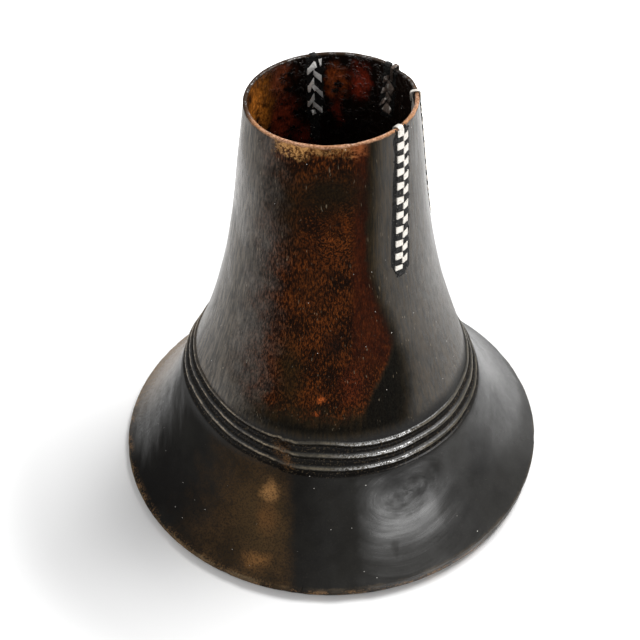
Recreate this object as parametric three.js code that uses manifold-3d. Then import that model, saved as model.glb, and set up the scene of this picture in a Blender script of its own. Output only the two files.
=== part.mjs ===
// Wooden milk vessel of East Africa: a wide, low skirt that runs up into a tall neck with a thin lip,
// carved hollow from one block of dark wood. Four cracks run down from the lip. Each is drawn together
// by one flat aluminium strip laced through drilled slots in a figure of eight, and closed with gum.
// Millimetres, +Z up. The origin is the centre of the flat foot. The front of the vessel faces -Y.

import * as THREE from "three";
import { mergeVertices } from "three/addons/utils/BufferGeometryUtils.js";
import Module from "manifold-3d";

const wasm = await Module();
wasm.setup();

// Driving dimensions of the outside
const height = 254;
const rimRadius = 45.3;
const bandFootHeight = 62.4;
const bandFootRadius = 90.8;
const bandRise = 17.6;
const bandInset = 8.9;
const edgeHeight = 8.7;
const edgeRadius = 129.4;
const footTuck = 3.5;

// How steeply each end of the two long curves leaves, in degrees above level, and how far it is pulled
const neckTop = { lean: 82.1, pull: 66 };
const neckBottom = { lean: 68.7, pull: 75 };
const skirtTop = { lean: 68.5, pull: 14 };
const skirtBottom = { lean: 27, pull: 20 };

// Ring band: three narrow ridges, each above a groove whose two slopes take this share of its width each
const ridgeCount = 3;
const grooveWidth = 4;
const grooveDepth = 1.4;
const grooveSlope = 0.3;
const ridgeHeight = 0.9;

// Thickness of the wood
const lipWall = 2.2;
const shoulderWall = 8;
const bellyInset = 29;
const bellyCornerHeight = 9;
const bellyCornerWidth = 12;
const floorThickness = 16;

// The hand-cut vessel is not quite true: its rim, band and edge each lie a little out of level.
// right and back are the rise, in millimetres, at the rim's, band's or edge's own radius.
const rimTilt = { reach: 30, right: 1.1, back: -0.7 };
const bandTilt = { reach: 20, right: -3.5, back: 1.4 };
const edgeTilt = { reach: 20, right: 3.2, back: 0.8 };

// Aluminium lacing strip and the slots it runs through
const stripWidth = 3.3;
const stripThickness = 0.5;
const stripClearance = 0.35;
const stripStandOff = 0.5;
const stripBend = 0.55;
const leftReach = 4.7;
const rightReach = 3.4;
const outsideDrop = 0.7;
const lipWrapWidth = 4.2;
const lipWrapTail = 2.5;

// The rows of stitches lie wider apart in the middle of a long crack: the slack comes in between these
// two shares of its stitches
const slackStart = 0.25;
const slackEnd = 0.95;

// Gum pressed along both sides of the stitches and through the end of each crack
const gumWidth = 2.2;
const gumThickness = 0.6;
const gumClearance = 0.3;
const gumStartDepth = 1.2;

// The cracks: angle from the front (right is positive) at the rim and at the last stitch, whether the
// strip starts over the lip, the first stitch's depth below the rim, the stitches and their pitch, the
// extra length that their middle rows take up between them, and how far the gum goes on below the last
const cracks = [
  {
    name: "front_right", rimAngle: 52.1, endAngle: 42.6, overLip: true,
    firstDepth: 2.15, stitches: 10, pitch: 6.9, slack: 7.4, gumEnd: 4,
  },
  {
    name: "right", rimAngle: 98, endAngle: 102, overLip: true,
    firstDepth: 2.15, stitches: 10, pitch: 7.6, slack: 0, gumEnd: 4,
  },
  {
    name: "back_right", rimAngle: 133, endAngle: 139, overLip: true,
    firstDepth: 6.4, stitches: 3, pitch: 7.8, slack: 0, gumEnd: 4,
  },
  {
    name: "back_left", rimAngle: -167.5, endAngle: -168.5, overLip: false,
    firstDepth: 4, stitches: 3, pitch: 11.3, slack: 0, gumEnd: 20,
  },
];

// How finely curves are divided
const turnSteps = 60;
const footSteps = 2;
const skirtSteps = 6;
const neckSteps = 7;
const lipSteps = 2;
const bellySteps = 3;
const cornerSteps = 2;
const crackStepLength = 14;

const wood = new THREE.MeshStandardMaterial({ color: 0x2a1c14, roughness: 0.42, metalness: 0 });
const aluminium = new THREE.MeshStandardMaterial({ color: 0xd9d6cf, roughness: 0.38, metalness: 0.9 });
const gum = new THREE.MeshStandardMaterial({ color: 0x17120e, roughness: 0.6, metalness: 0 });

// A step of the given length that rises at lean degrees above level, inwards as it goes up
function step(lean, length) {
  const angle = THREE.MathUtils.degToRad(lean);
  return new THREE.Vector2(-length * Math.cos(angle), length * Math.sin(angle));
}

// A smooth curve between two points of the outline, from the lower to the upper
function rise(from, fromEnd, to, toEnd) {
  return new THREE.CubicBezierCurve(
    from,
    from.clone().add(step(fromEnd.lean, fromEnd.pull)),
    to.clone().sub(step(toEnd.lean, toEnd.pull)),
    to,
  );
}

// Outline points are (radius, height)
const edge = new THREE.Vector2(edgeRadius, edgeHeight);
const bandFoot = new THREE.Vector2(bandFootRadius, bandFootHeight);
const neckFoot = new THREE.Vector2(bandFootRadius - bandInset, bandFootHeight + bandRise);
const rim = new THREE.Vector2(rimRadius, height);
const skirtCurve = rise(edge, skirtBottom, bandFoot, skirtTop);
const neckCurve = rise(neckFoot, neckBottom, rim, neckTop);
const neckLength = neckCurve.getLength();
const neckRows = neckCurve.getSpacedPoints(neckSteps);

// A point on the outside of the neck, its way up and its way out, at a depth below the rim measured
// along the surface. Between two rows of the outline the surface is straight, and above the rim it is
// carried on straight.
function neckAt(depth) {
  const share = THREE.MathUtils.clamp(1 - depth / neckLength, 0, 1);
  const up = neckCurve.getTangentAt(share);
  const row = Math.min(neckSteps - 1, Math.floor(share * neckSteps));
  const point = neckRows[row].clone().lerp(neckRows[row + 1], share * neckSteps - row);
  if (depth < 0) point.addScaledVector(up, -depth);
  return { point, up, out: new THREE.Vector2(up.y, -up.x) };
}

// The wall thickens evenly from the lip down to the shoulder.
function wallAt(depth) {
  const share = THREE.MathUtils.clamp(depth / neckLength, 0, 1);
  return lipWall + (shoulderWall - lipWall) * share;
}

// The neck's inner face: the outer one moved in by the wall
function innerNeckAt(depth) {
  const { point, out } = neckAt(depth);
  return point.clone().addScaledVector(out, -wallAt(depth));
}

// The ring band, from the skirt's top to the neck's foot: groove, ridge, groove, ridge, groove, ridge
function bandPoints() {
  const along = neckFoot.clone().sub(bandFoot);
  const length = along.length();
  along.normalize();
  const out = new THREE.Vector2(along.y, -along.x);
  const ridgeWidth = length / ridgeCount - grooveWidth;
  const points = [];
  const add = (distance, offset) =>
    points.push(bandFoot.clone().addScaledVector(along, distance).addScaledVector(out, offset));
  for (let i = 0; i < ridgeCount; i += 1) {
    const start = i * (grooveWidth + ridgeWidth);
    add(start, 0);
    add(start + grooveSlope * grooveWidth, -grooveDepth);
    add(start + (1 - grooveSlope) * grooveWidth, -grooveDepth);
    add(start + grooveWidth, 0);
    add(start + grooveWidth + ridgeWidth / 2, ridgeHeight);
  }
  return points;
}

// A quarter of an ellipse from one point to another; it leaves along the first axis given
function quarter(from, to, steps, leavesLevel) {
  const points = [];
  for (let i = 0; i <= steps; i += 1) {
    const angle = (Math.PI / 2) * (i / steps);
    const first = Math.sin(angle);
    const second = 1 - Math.cos(angle);
    const across = leavesLevel ? first : second;
    const upward = leavesLevel ? second : first;
    points.push(new THREE.Vector2(
      from.x + (to.x - from.x) * across,
      from.y + (to.y - from.y) * upward,
    ));
  }
  return points;
}

// Half round over the lip, from its outer to its inner edge
function lipPoints() {
  const inner = innerNeckAt(0);
  const middle = rim.clone().add(inner).multiplyScalar(0.5);
  const half = rim.clone().sub(middle);
  const up = neckAt(0).up.clone().multiplyScalar(half.length() / 2);
  const points = [];
  for (let i = 1; i < lipSteps * 2; i += 1) {
    const angle = (Math.PI * i) / (lipSteps * 2);
    points.push(middle.clone().addScaledVector(half, Math.cos(angle)).addScaledVector(up, Math.sin(angle)));
  }
  return points;
}

// The inside below the neck: belly, rounded corner and floor
function bellyPoints() {
  const top = innerNeckAt(neckLength);
  const corner = new THREE.Vector2(edgeRadius - bellyInset, floorThickness + bellyCornerHeight);
  const floorEdge = new THREE.Vector2(corner.x - bellyCornerWidth, floorThickness);
  const belly = new THREE.QuadraticBezierCurve(top, new THREE.Vector2(
    top.x + (corner.x - top.x) * 0.35,
    top.y + (corner.y - top.y) * 0.6,
  ), corner).getPoints(bellySteps).slice(1);
  return [...belly, ...quarter(corner, floorEdge, cornerSteps, false).slice(1)];
}

// The whole outline, up the outside and down the inside, from axis to axis
function vesselOutline() {
  const foot = new THREE.Vector2(edgeRadius - footTuck, 0);
  const innerNeck = [];
  for (let i = 0; i < neckSteps; i += 1) innerNeck.push(innerNeckAt((neckLength * i) / neckSteps));
  return [
    new THREE.Vector2(0, 0),
    ...quarter(foot, edge, footSteps, true),
    ...skirtCurve.getSpacedPoints(skirtSteps).slice(1, -1),
    ...bandPoints(),
    ...neckRows,
    ...lipPoints(),
    ...innerNeck,
    innerNeckAt(neckLength),
    ...bellyPoints(),
    new THREE.Vector2(0, floorThickness),
  ];
}

// Carries every point of a geometry through a function that moves a THREE.Vector3
function reshape(geometry, move) {
  const position = geometry.getAttribute("position");
  const point = new THREE.Vector3();
  for (let i = 0; i < position.count; i += 1) {
    point.fromBufferAttribute(position, i);
    move(point);
    position.setXYZ(i, point.x, point.y, point.z);
  }
  return geometry;
}

// Puts a point of the true form where the hand-cut vessel has it. The foot's own face stays flat.
function settle(point) {
  const held = Math.min(1, Math.max(0, point.z / edgeHeight));
  const levels = [
    [height, rimRadius, rimTilt],
    [bandFootHeight + bandRise / 2, bandFootRadius, bandTilt],
    [edgeHeight, edgeRadius, edgeTilt],
  ];
  let lift = 0;
  for (const [level, radius, tilt] of levels) {
    const weight = Math.exp(-(((point.z - level) / tilt.reach) ** 2));
    lift += (weight * (tilt.right * point.x + tilt.back * point.y)) / radius;
  }
  point.z += held * lift;
}

// The crack's angle from the front, in radians, at a depth below the rim
function crackAngle(crack, depth) {
  const share = depth / crack.lastDepth;
  return THREE.MathUtils.degToRad(crack.rimAngle + (crack.endAngle - crack.rimAngle) * share);
}

// A point beside a crack is given as (sideways from the crack, out from the neck's outer face, depth
// below the rim). This moves it from those three to its place in the vessel.
function placeByCrack(crack) {
  return (point) => {
    const { x: sideways, y: outwards, z: depth } = point;
    const neck = neckAt(depth);
    const angle = crackAngle(crack, depth) + sideways / neck.point.x;
    const radius = neck.point.x + neck.out.x * outwards;
    point.set(radius * Math.sin(angle), -radius * Math.cos(angle), neck.point.y + neck.out.y * outwards);
    settle(point);
  };
}

function solidOf(geometry) {
  const bare = geometry.clone();
  bare.deleteAttribute("normal");
  bare.deleteAttribute("uv");
  const merged = mergeVertices(bare);
  return new wasm.Manifold(new wasm.Mesh({
    numProp: 3,
    vertProperties: new Float32Array(merged.getAttribute("position").array),
    triVerts: new Uint32Array(merged.index.array),
  }));
}

function meshOf(name, solid, material) {
  const { vertProperties, triVerts } = solid.getMesh();
  const geometry = new THREE.BufferGeometry();
  geometry.setAttribute("position", new THREE.BufferAttribute(vertProperties, 3));
  geometry.setIndex(new THREE.BufferAttribute(triVerts, 1));
  geometry.computeVertexNormals();
  const mesh = new THREE.Mesh(geometry, material);
  mesh.name = name;
  return mesh;
}

// A block that follows the wall beside a crack. outer and inner give its two faces' distance out from
// the neck's outer face at a depth.
function wallBlock(crack, { left, right, top, bottom, outer, inner }) {
  const width = right - left;
  const length = bottom - top;
  const sideSteps = Math.max(1, Math.round(width / 4));
  const depthSteps = Math.max(1, Math.round(length / crackStepLength));
  const block = new THREE.BoxGeometry(width, 1, length, sideSteps, 1, depthSteps);
  block.translate((left + right) / 2, 0.5, (top + bottom) / 2);
  reshape(block, (point) => {
    point.y = inner(point.z) + point.y * (outer(point.z) - inner(point.z));
  });
  return solidOf(reshape(block, placeByCrack(crack)));
}

// Faces of blocks: clear of the wall outside and inside, or a distance off its outer or inner face
const clearOfWall = 3;
const beyondOuter = () => clearOfWall;
const beyondInner = (depth) => -wallAt(depth) - clearOfWall;
const offOuter = (distance) => () => distance;
const offInner = (distance) => (depth) => -wallAt(depth) - distance;

// The lacing. Seen along the crack the strip draws a figure of eight through the wall: over the outside
// from the left slot to the crack, in through the crack, behind the wall to the right slot, out, over
// to the crack again, in, and behind the wall to the next left slot. It drops only a little on its way
// over the outside, and the rest behind, so the passes lie one under the other in the crack.
function rowDepth(crack, row) {
  const share = THREE.MathUtils.smoothstep(row / crack.stitches, slackStart, slackEnd);
  return crack.firstDepth + crack.pitch * row + crack.slack * share;
}

for (const crack of cracks) {
  crack.lastDepth = rowDepth(crack, crack.stitches);
  crack.endDepth = crack.lastDepth + outsideDrop + stripWidth / 2 + stripClearance;
}

const stripOut = stripStandOff + stripThickness / 2;

// The corners of the strip's path, as points beside the crack
function lacingCorners(crack) {
  const corners = [];
  const add = (sideways, outside, depth) =>
    corners.push(new THREE.Vector3(sideways, outside ? stripOut : -wallAt(depth) - stripOut, depth));
  if (!crack.overLip) add(-leftReach / 2, false, crack.firstDepth);
  for (let i = 0; i <= crack.stitches; i += 1) {
    const depth = rowDepth(crack, i);
    if (i > 0 || !crack.overLip) add(-leftReach, false, depth);
    add(-leftReach, true, depth);
    add(0, true, depth + outsideDrop);
    add(0, false, depth + outsideDrop);
    if (i === crack.stitches) continue;
    const halfWay = (depth + rowDepth(crack, i + 1)) / 2;
    add(rightReach, false, halfWay);
    add(rightReach, true, halfWay);
    add(0, true, halfWay + outsideDrop);
    add(0, false, halfWay + outsideDrop);
  }
  add(rightReach / 2, false, crack.lastDepth + outsideDrop);
  return corners;
}

// Each corner between the two ends is cut off, as the strip bends there.
function bendCorners(corners) {
  const path = [corners[0]];
  for (let i = 1; i < corners.length - 1; i += 1) {
    const corner = corners[i];
    for (const neighbour of [corners[i - 1], corners[i + 1]]) {
      path.push(corner.clone().lerp(neighbour, stripBend / corner.distanceTo(neighbour)));
    }
  }
  path.push(corners[corners.length - 1]);
  return path;
}

// A flat strip along a path that turns only about its width, which lies along the given axis
function ribbon(path, widthAxis, width) {
  const flat = (from, to) => to.clone().sub(from).projectOnPlane(widthAxis).normalize();
  const halfWidth = widthAxis.clone().multiplyScalar(width / 2);
  const vertices = [];
  path.forEach((centre, i) => {
    const before = i > 0 ? flat(path[i - 1], centre) : flat(centre, path[i + 1]);
    const after = i < path.length - 1 ? flat(centre, path[i + 1]) : before;
    const mitre = before.clone().add(after).normalize();
    const thick = widthAxis.clone().cross(mitre);
    thick.multiplyScalar(stripThickness / 2 / mitre.dot(after));
    for (const [thickSide, widthSide] of [[1, 1], [-1, 1], [-1, -1], [1, -1]]) {
      const vertex = centre.clone().addScaledVector(thick, thickSide).addScaledVector(halfWidth, widthSide);
      vertices.push(vertex.x, vertex.y, vertex.z);
    }
  });
  const faces = [];
  const quad = (a, b, c, d) => faces.push(a, b, c, a, c, d);
  const last = 4 * (path.length - 1);
  for (let ring = 0; ring < last; ring += 4) {
    for (let side = 0; side < 4; side += 1) {
      const next = (side + 1) % 4;
      quad(ring + side, ring + next, ring + 4 + next, ring + 4 + side);
    }
  }
  quad(3, 2, 1, 0);
  quad(last, last + 1, last + 2, last + 3);
  const geometry = new THREE.BufferGeometry();
  geometry.setAttribute("position", new THREE.Float32BufferAttribute(vertices, 3));
  geometry.setIndex(faces);
  return geometry;
}

// The strip starts inside, goes up and over the lip and is folded flat onto its own first run.
function lipWrapPath(crack) {
  const sideways = -leftReach / 2;
  const overRun = stripOut + stripThickness / 2;
  const behind = -lipWall - stripOut;
  const above = -lipWall / 2 - stripOut;
  return bendCorners([
    new THREE.Vector3(sideways, behind, crack.firstDepth + lipWrapTail),
    new THREE.Vector3(sideways, behind, above),
    new THREE.Vector3(sideways, overRun, above),
    new THREE.Vector3(sideways, overRun, crack.firstDepth + stripWidth / 4),
  ]);
}

function lacing(crack) {
  const alongCrack = new THREE.Vector3(0, 0, 1);
  const acrossCrack = new THREE.Vector3(1, 0, 0);
  const place = placeByCrack(crack);
  const stitches = ribbon(bendCorners(lacingCorners(crack)), alongCrack, stripWidth);
  const strip = solidOf(reshape(stitches, place));
  if (!crack.overLip) return strip;
  const wrap = ribbon(lipWrapPath(crack), acrossCrack, lipWrapWidth);
  return strip.add(solidOf(reshape(wrap, place)));
}

// The crack and the drilled slots, as solids to cut out of the wood
function crackCuts(crack) {
  const halfCrack = stripThickness / 2 + stripClearance;
  const halfSlot = stripWidth / 2 + stripClearance;
  const through = { outer: beyondOuter, inner: beyondInner };
  const cuts = [wallBlock(crack, {
    ...through,
    left: -halfCrack,
    right: halfCrack,
    top: -clearOfWall,
    bottom: crack.endDepth + crack.gumEnd,
  })];
  for (let i = 0; i <= crack.stitches; i += 1) {
    const depth = rowDepth(crack, i);
    const slots = [];
    if (i > 0 || !crack.overLip) slots.push([-leftReach, depth]);
    if (i < crack.stitches) slots.push([rightReach, (depth + rowDepth(crack, i + 1)) / 2]);
    for (const [sideways, slotDepth] of slots) {
      cuts.push(wallBlock(crack, {
        ...through,
        left: sideways - halfCrack,
        right: sideways + halfCrack,
        top: slotDepth - halfSlot,
        bottom: slotDepth + halfSlot,
      }));
    }
  }
  return cuts;
}

// Gum: a bead down each side of the stitches on both faces, joined below the last stitch by a plug
// through the end of the crack
function gumSeal(crack) {
  const slotEdge = stripThickness / 2 + stripClearance;
  const leftBead = { left: -leftReach - slotEdge - gumWidth, right: -leftReach - slotEdge };
  const rightBead = { left: rightReach + slotEdge, right: rightReach + slotEdge + gumWidth };
  const faces = [
    { outer: offOuter(gumClearance + gumThickness), inner: offOuter(gumClearance) },
    { outer: offInner(gumClearance), inner: offInner(gumClearance + gumThickness) },
  ];
  const top = gumStartDepth;
  const joinTop = crack.endDepth;
  const bottom = joinTop + crack.gumEnd;
  const halfPlug = stripThickness / 2 + stripClearance - gumClearance;
  let seal = wallBlock(crack, {
    left: -halfPlug,
    right: halfPlug,
    top: joinTop,
    bottom: bottom - gumClearance,
    outer: offOuter(gumClearance + gumThickness / 2),
    inner: offInner(gumClearance + gumThickness / 2),
  });
  for (const face of faces) {
    seal = seal.add(wallBlock(crack, { ...face, ...leftBead, top, bottom }));
    seal = seal.add(wallBlock(crack, { ...face, ...rightBead, top, bottom }));
    seal = seal.add(wallBlock(crack, {
      ...face, left: leftBead.left, right: rightBead.right, top: joinTop, bottom,
    }));
  }
  return seal;
}

function vesselBody() {
  const turned = new THREE.LatheGeometry(vesselOutline(), turnSteps);
  turned.rotateX(Math.PI / 2);
  let body = solidOf(reshape(turned, settle));
  for (const crack of cracks) {
    for (const cut of crackCuts(crack)) body = body.subtract(cut);
  }
  return body;
}

const vessel = new THREE.Group();
vessel.add(meshOf("vessel_body", vesselBody(), wood));
for (const crack of cracks) {
  vessel.add(meshOf(`${crack.name}_lacing`, lacing(crack), aluminium));
  vessel.add(meshOf(`${crack.name}_gum_seal`, gumSeal(crack), gum));
}

export default vessel;
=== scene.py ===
# %% [markdown]
# # A carved wooden milk vessel
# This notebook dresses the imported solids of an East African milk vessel: a wide skirt for a foot, a band
# of three raised rings, and a tall neck that tapers to a thin lip. It was cut from one block of dark wood,
# and four cracks in its neck were later laced together with flat aluminium strip and closed with gum.
# The solids fix every size and place. What is modelled here keeps to them and adds the finish.

# %% Load the fixed frame
import math
from contextlib import contextmanager
from dataclasses import dataclass
from functools import cached_property

import bmesh
import bpy
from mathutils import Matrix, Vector, noise
from mathutils.geometry import interpolate_bezier


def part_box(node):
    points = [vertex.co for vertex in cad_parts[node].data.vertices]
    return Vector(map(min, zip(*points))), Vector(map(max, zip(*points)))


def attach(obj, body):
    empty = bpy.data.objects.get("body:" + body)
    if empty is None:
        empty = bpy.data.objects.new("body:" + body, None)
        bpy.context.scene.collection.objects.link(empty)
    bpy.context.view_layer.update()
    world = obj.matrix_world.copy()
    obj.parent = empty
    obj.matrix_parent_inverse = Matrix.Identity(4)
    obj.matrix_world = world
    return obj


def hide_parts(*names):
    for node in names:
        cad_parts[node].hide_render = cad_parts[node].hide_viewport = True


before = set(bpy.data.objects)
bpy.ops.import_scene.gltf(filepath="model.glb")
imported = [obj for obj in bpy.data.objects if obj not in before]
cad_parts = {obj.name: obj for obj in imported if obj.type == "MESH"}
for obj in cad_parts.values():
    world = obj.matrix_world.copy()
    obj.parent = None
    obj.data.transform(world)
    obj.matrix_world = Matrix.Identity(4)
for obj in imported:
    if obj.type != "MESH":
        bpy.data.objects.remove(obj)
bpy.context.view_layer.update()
print("frame nodes:", ", ".join(sorted(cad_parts)))

# %% [markdown]
# ## Sizes
# The outline is two long curves, the skirt and the neck, with the ring band between them. Each curve is
# given by its two ends, how steeply it leaves each end, and how far it is pulled that way. A Bezier curve
# needs no more, and a change of one number keeps it smooth, which a list of points would not.

# %% Driving sizes, in metres
mm = 0.001

height = 254 * mm
rim_radius = 45.3 * mm
band_foot = Vector((90.8 * mm, 62.4 * mm))
band_rise = 17.6 * mm
band_inset = 8.9 * mm
edge_height = 8.7 * mm
edge_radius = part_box("vessel_body")[1][0]
foot_tuck = 3.5 * mm
lip_wall = 2.2 * mm
shoulder_wall = 8 * mm
belly_inset = 29 * mm
belly_corner_height = 9 * mm
belly_corner_width = 12 * mm
floor_thickness = 16 * mm

NECK_TOP = (82.1, 66 * mm)
NECK_BOTTOM = (68.7, 75 * mm)
SKIRT_TOP = (68.5, 14 * mm)
SKIRT_BOTTOM = (27, 20 * mm)
print(f"vessel {height / mm:.0f} mm high, {2 * edge_radius / mm:.1f} mm across the foot")


# %% Curves of the outline, as (radius, height)
def clamped(value):
    return min(1, max(0, value))


def step(lean, length):
    """A step inwards and up, at lean degrees above level."""
    angle = math.radians(lean)
    return Vector((-length * math.cos(angle), length * math.sin(angle)))


def rise(start, leaving, end, arriving, count):
    """Points on a smooth curve from a lower to an upper point."""
    handles = start + step(*leaving), end - step(*arriving)
    knots = [point.to_3d() for point in (start, *handles, end)]
    return [point.to_2d() for point in interpolate_bezier(*knots, count)]


edge = Vector((edge_radius, edge_height))
neck_foot = band_foot + Vector((-band_inset, band_rise))
rim = Vector((rim_radius, height))
skirt_curve = rise(edge, SKIRT_BOTTOM, band_foot, SKIRT_TOP, 44)
neck_curve = rise(neck_foot, NECK_BOTTOM, rim, NECK_TOP, 90)
print(len(skirt_curve), "points on the skirt and", len(neck_curve), "on the neck")


# %% The neck's surface by depth below the rim
neck_run = [0.0]
for lower, upper in zip(neck_curve[-2::-1], neck_curve[:0:-1]):
    neck_run.append(neck_run[-1] + (upper - lower).length)
neck_length = neck_run[-1]
neck_down = neck_curve[::-1]


def neck_at(depth):
    """The outer point at a depth measured down the surface, and the way out of the wood there."""
    index = 0
    while index < len(neck_run) - 2 and neck_run[index + 1] < depth:
        index += 1
    share = (depth - neck_run[index]) / (neck_run[index + 1] - neck_run[index])
    down = neck_down[index + 1] - neck_down[index]
    point = neck_down[index] + down * share
    return point, Vector((-down.y, down.x)).normalized()


def wall_at(depth):
    """The wall thickens evenly from the lip to the shoulder."""
    return lip_wall + (shoulder_wall - lip_wall) * clamped(depth / neck_length)


def inner_neck_at(depth):
    point, out = neck_at(depth)
    return point - out * wall_at(depth)


print(f"the neck is {neck_length / mm:.1f} mm long down its side")

# %% [markdown]
# ## The ring band
# The maker left three ridges standing, each above a groove. On a lathe they would be perfect rings, but
# this vessel was cut by eye, so the outline gives only their section, and their height is made to wander
# later, when the turned shape gets its hand-cut unevenness.

# %% Section of the ring band
ridge_count = 3
groove_width = 4 * mm
groove_depth = 1.4 * mm
ridge_height = 0.9 * mm


def band_section():
    along = (neck_foot - band_foot).normalized()
    out = Vector((along.y, -along.x))
    length = (neck_foot - band_foot).length
    ridge_width = length / ridge_count - groove_width
    points = []
    for i in range(ridge_count):
        start = i * (groove_width + ridge_width)
        for share in (0.07, 0.16, 0.28, 0.42, 0.58, 0.72, 0.84, 0.93):
            steep = 1.8 if i == 0 and share < 0.5 else 0.7
            dip = -groove_depth * math.sin(math.pi * share) ** steep
            points.append(band_foot + along * (start + share * groove_width) + out * dip)
        for k in range(0, 7):
            swell = ridge_height * math.sin(math.pi * k / 7)
            points.append(band_foot + along * (start + groove_width + ridge_width * k / 7) + out * swell)
    return points


print(len(band_section()), "points across the ring band")


# %% The whole outline
def quarter(start, end, count, leaves_level):
    """A quarter of an ellipse between two points."""
    points = []
    for i in range(count + 1):
        angle = math.pi / 2 * i / count
        first, second = math.sin(angle), 1 - math.cos(angle)
        across, up = (first, second) if leaves_level else (second, first)
        points.append(Vector((start.x + (end.x - start.x) * across, start.y + (end.y - start.y) * up)))
    return points


def lip_section(count=8):
    outer, inner = neck_curve[-1], inner_neck_at(0)
    middle = (outer + inner) / 2
    half = outer - middle
    up = (neck_curve[-1] - neck_curve[-2]).normalized() * half.length / 2
    turns = [math.pi * i / count for i in range(1, count)]
    return [middle + half * math.cos(turn) + up * math.sin(turn) for turn in turns]


def belly_section():
    top = inner_neck_at(neck_length)
    corner = Vector((edge_radius - belly_inset, floor_thickness + belly_corner_height))
    floor_edge = Vector((corner.x - belly_corner_width, floor_thickness))
    pull = Vector((top.x + (corner.x - top.x) * 0.35, top.y + (corner.y - top.y) * 0.6))
    curve = []
    for i in range(1, 17):
        share = i / 16
        curve.append(top.lerp(pull, share).lerp(pull.lerp(corner, share), share))
    return curve + quarter(corner, floor_edge, 6, False)[1:]


outline = [Vector((0, 0)), Vector((edge_radius * 0.5, 0)), Vector((edge_radius * 0.9, 0))]
outline += quarter(Vector((edge_radius - foot_tuck, 0)), edge, 8, True)
outline += skirt_curve[1:] + band_section() + neck_curve + lip_section()
outline += [inner_neck_at(neck_length * i / 48) for i in range(49)] + belly_section()
outline += [Vector((edge_radius * share, floor_thickness)) for share in (0.45, 0.2, 0)]
print(len(outline), "points from axis to axis")

# %% [markdown]
# ## Turning the block
# A turned or hand-hollowed vessel is the plainest thing to make with Spin: one outline, carried round
# the axis. The outline is drawn as by hand, one vertex extruded to the next, and then spun. A few short
# functions come first, for the steps that every piece of the model needs.


# %% Add, edit and finish an object
def only(obj):
    """Makes one object the selected and active one."""
    bpy.ops.object.select_all(action="DESELECT")
    obj.select_set(True)
    bpy.context.view_layer.objects.active = obj


def added(primitive, **settings):
    """A new primitive, with everything else deselected first."""
    bpy.ops.object.select_all(action="DESELECT")
    primitive(**settings)
    return bpy.context.object


@contextmanager
def editing(obj):
    """Edit mode with all of an object selected, and object mode again afterwards."""
    only(obj)
    bpy.ops.object.mode_set(mode="EDIT")
    bpy.ops.mesh.select_all(action="SELECT")
    yield
    bpy.ops.object.mode_set(mode="OBJECT")


def modified(obj, kind, **settings):
    """Adds a modifier and applies it."""
    only(obj)
    modifier = obj.modifiers.new(kind.lower(), kind)
    for key, value in settings.items():
        setattr(modifier, key, value)
    bpy.ops.object.modifier_apply(modifier=modifier.name)


def smoothed(obj, sharp_angle):
    """Shades an object smooth, except over edges sharper than an angle in degrees."""
    only(obj)
    bpy.ops.object.shade_smooth_by_angle(angle=math.radians(sharp_angle))


def renamed(obj, name):
    obj.name = obj.data.name = name
    return obj


# %% Extrude the outline and spin it
def spun(name, points, steps):
    """A closed solid: an outline in the XZ plane, drawn vertex by vertex and spun about Z."""
    obj = renamed(added(bpy.ops.mesh.primitive_plane_add, size=1 * mm, location=(0, 0, 0)), name)
    with editing(obj):
        bpy.ops.mesh.merge(type="CENTER")
        for start, end in zip(points, points[1:]):
            move = (end.x - start.x, 0, end.y - start.y)
            bpy.ops.mesh.extrude_vertices_move(TRANSFORM_OT_translate={"value": move})
        bpy.ops.mesh.select_all(action="SELECT")
        bpy.ops.mesh.spin(steps=steps, angle=2 * math.pi, center=(0, 0, 0), axis=(0, 0, 1))
        bpy.ops.mesh.select_all(action="SELECT")
        bpy.ops.mesh.remove_doubles(threshold=0.01 * mm)
        bpy.ops.mesh.normals_make_consistent(inside=False)
    return obj


TURN_STEPS = 320
vessel = spun("vessel", outline, TURN_STEPS)
print(len(vessel.data.vertices), "vertices after the spin")

# %% [markdown]
# ## Out of true
# The real vessel leans a little: its rim, its band and its edge are each out of level by a few
# millimetres. The solids have the same lean, so the same rule is used here. On top of it the surface
# gets what a hand tool leaves: soft flats on the neck, ridges that wander, a chipped edge and lip.
# The rings were begun and ended at one place at the front, where they don't quite meet and are worn.

# %% Lean of the rim, band and edge
LEANS = [
    (height, rim_radius, 30 * mm, 1.1 * mm, -0.7 * mm),
    (band_foot.y + band_rise / 2, band_foot.x, 20 * mm, -3.5 * mm, 1.4 * mm),
    (edge_height, edge_radius, 20 * mm, 3.2 * mm, 0.8 * mm),
]


def settle(point):
    """Moves a point of the true form to where the leaning vessel has it."""
    held = clamped(point.z / edge_height)
    lift = 0
    for level, radius, reach, right, back in LEANS:
        weight = math.exp(-(((point.z - level) / reach) ** 2))
        lift += weight * (right * point.x + back * point.y) / radius
    return Vector((point.x, point.y, point.z + held * lift))


print("lean at the rim's right:", round((settle(Vector((rim_radius, 0, height))).z - height) / mm, 2), "mm")


# %% Hand-cut unevenness
RING_START = -19  # degrees from the front, where the maker's rings begin and end, a little out of line
RING_CLIMB = -62  # where they climb highest
LIP_BREAK = (112, 132)  # between these the lip is broken away, in a slope that ends in a step
band_middle = band_foot.y + band_rise / 2


def bump(value, centre, reach):
    return math.exp(-(((value - centre) / reach) ** 2))


def drift(point, per_metre, seed):
    """Smooth noise in -1..1, the same on every run."""
    return noise.noise(point * per_metre + Vector((seed, seed * 0.37, -seed)))


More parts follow.
